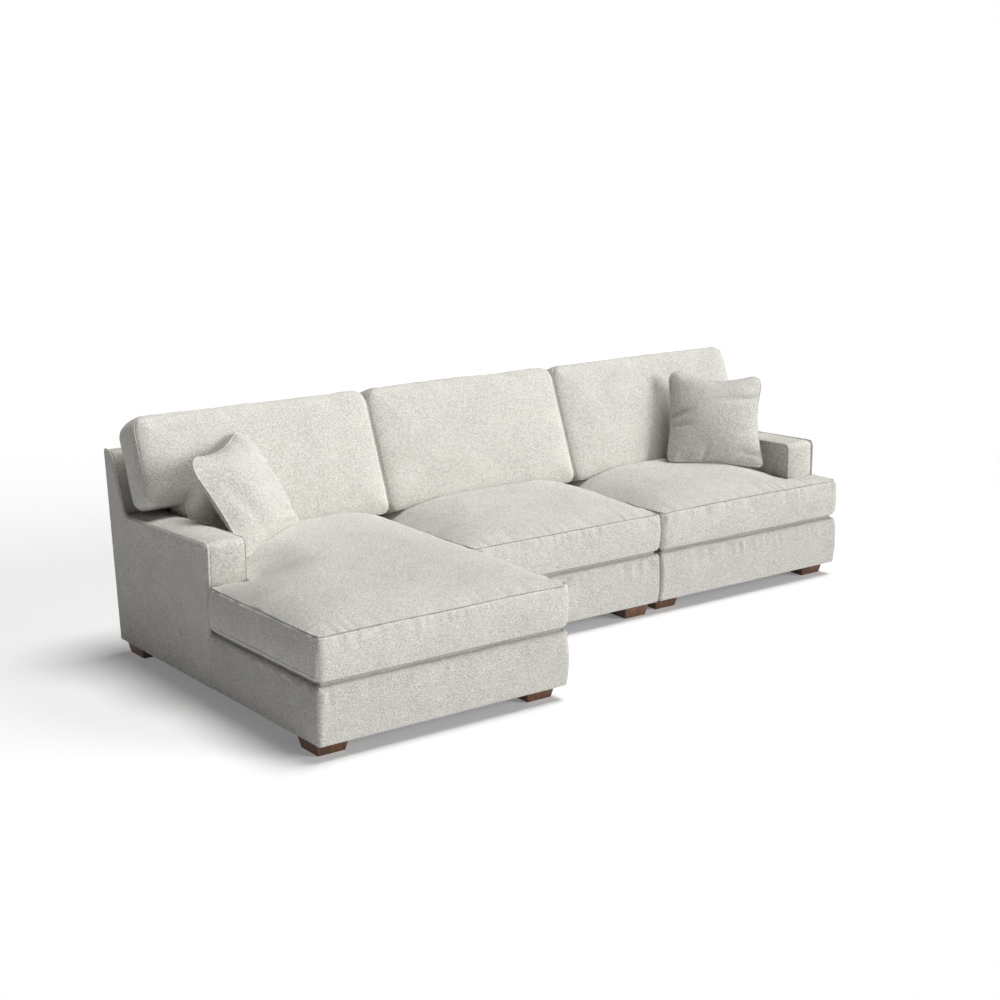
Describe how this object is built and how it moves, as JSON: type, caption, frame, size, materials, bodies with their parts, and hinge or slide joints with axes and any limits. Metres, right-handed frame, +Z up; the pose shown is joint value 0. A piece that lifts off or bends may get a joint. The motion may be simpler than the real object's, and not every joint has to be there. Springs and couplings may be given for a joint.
{
  "type": "sectional sofa with chaise",
  "caption": "Sectional sofa with a chaise on the left, two low set-back arms, loose seat and back cushions, two throw pillows and dark tapered feet.",
  "frame": {"origin": "centre of the whole sofa's bounding box, on the floor", "axes": "+X to the right as seen by someone facing the sofa's front, +Y to the back, +Z up"},
  "size_m": [3.227, 1.629, 0.9971],
  "materials": {
    "upholstery": "woven, matt",
    "pillow_fabric": "woven, matt",
    "deck_cloth": "woven, matt",
    "foam": "open cell foam, matt",
    "frame_wood": "raw, sawn",
    "foot_wood": "dark walnut stain, satin",
    "steel": "plain",
    "dust_cloth": "non-woven, matt",
    "webbing": "woven strap, matt"
  },
  "bodies": {
    "middle_section": {"middle_base_frame": "frame_wood", "middle_springs": "steel", "middle_deck": "deck_cloth", "middle_base_cover": "upholstery", "middle_dust_cover": "dust_cloth", "middle_feet": "foot_wood", "middle_foot_bolts": "steel", "middle_back_frame": "frame_wood", "middle_back_webbing": "webbing", "middle_back_cover": "upholstery", "middle_outside_back": "upholstery", "middle_connectors": "steel"},
    "chaise_section": {"chaise_base_frame": "frame_wood", "chaise_springs": "steel", "chaise_deck": "deck_cloth", "chaise_base_cover": "upholstery", "chaise_dust_cover": "dust_cloth", "chaise_feet": "foot_wood", "chaise_foot_bolts": "steel", "chaise_arm_frame": "frame_wood", "chaise_arm_cover": "upholstery", "chaise_side_panel": "upholstery", "chaise_back_frame": "frame_wood", "chaise_back_webbing": "webbing", "chaise_back_cover": "upholstery", "chaise_outside_back": "upholstery", "chaise_connectors": "steel"},
    "right_section": {"right_base_frame": "frame_wood", "right_springs": "steel", "right_deck": "deck_cloth", "right_base_cover": "upholstery", "right_dust_cover": "dust_cloth", "right_feet": "foot_wood", "right_foot_bolts": "steel", "right_arm_frame": "frame_wood", "right_arm_cover": "upholstery", "right_side_panel": "upholstery", "right_back_frame": "frame_wood", "right_back_webbing": "webbing", "right_back_cover": "upholstery", "right_outside_back": "upholstery", "right_connectors": "steel"},
    "chaise_seat": {"chaise_seat_core": "foam", "chaise_seat_cushion": "upholstery"},
    "chaise_back": {"chaise_back_core": "foam", "chaise_back_cushion": "upholstery"},
    "middle_seat": {"middle_seat_core": "foam", "middle_seat_cushion": "upholstery"},
    "middle_back": {"middle_back_core": "foam", "middle_back_cushion": "upholstery"},
    "right_seat": {"right_seat_core": "foam", "right_seat_cushion": "upholstery"},
    "right_back": {"right_back_core": "foam", "right_back_cushion": "upholstery"},
    "left_pillow": {"left_throw_pillow": "pillow_fabric", "left_pillow_insert": "foam"},
    "right_pillow": {"right_throw_pillow": "pillow_fabric", "right_pillow_insert": "foam"}
  },
  "joints": [
    {"name": "chaise_lift_off", "type": "slide", "parent": "middle_section", "child": "chaise_section", "axis": [0, 0, 1], "range_m": [0, 0.06]},
    {"name": "right_lift_off", "type": "slide", "parent": "middle_section", "child": "right_section", "axis": [0, 0, 1], "range_m": [0, 0.06]},
    {"name": "chaise_seat_pull_out", "type": "slide", "parent": "chaise_section", "child": "chaise_seat", "axis": [0, -1, 0], "range_m": [0, 0.25]},
    {"name": "middle_seat_pull_out", "type": "slide", "parent": "middle_section", "child": "middle_seat", "axis": [0, -1, 0], "range_m": [0, 0.25]},
    {"name": "right_seat_pull_out", "type": "slide", "parent": "right_section", "child": "right_seat", "axis": [0, -1, 0], "range_m": [0, 0.25]},
    {"name": "chaise_back_lift_out", "type": "slide", "parent": "chaise_section", "child": "chaise_back", "axis": [0, 0.3665, 0.9304], "range_m": [0, 0.25]},
    {"name": "middle_back_lift_out", "type": "slide", "parent": "middle_section", "child": "middle_back", "axis": [0, 0.3665, 0.9304], "range_m": [0, 0.25]},
    {"name": "right_back_lift_out", "type": "slide", "parent": "right_section", "child": "right_back", "axis": [0, 0.3665, 0.9304], "range_m": [0, 0.25]},
    {"name": "left_pillow_lift", "type": "slide", "parent": "chaise_seat", "child": "left_pillow", "axis": [0, 0, 1], "range_m": [0, 0.2]},
    {"name": "right_pillow_lift", "type": "slide", "parent": "right_seat", "child": "right_pillow", "axis": [0, 0, 1], "range_m": [0, 0.2]}
  ]
}
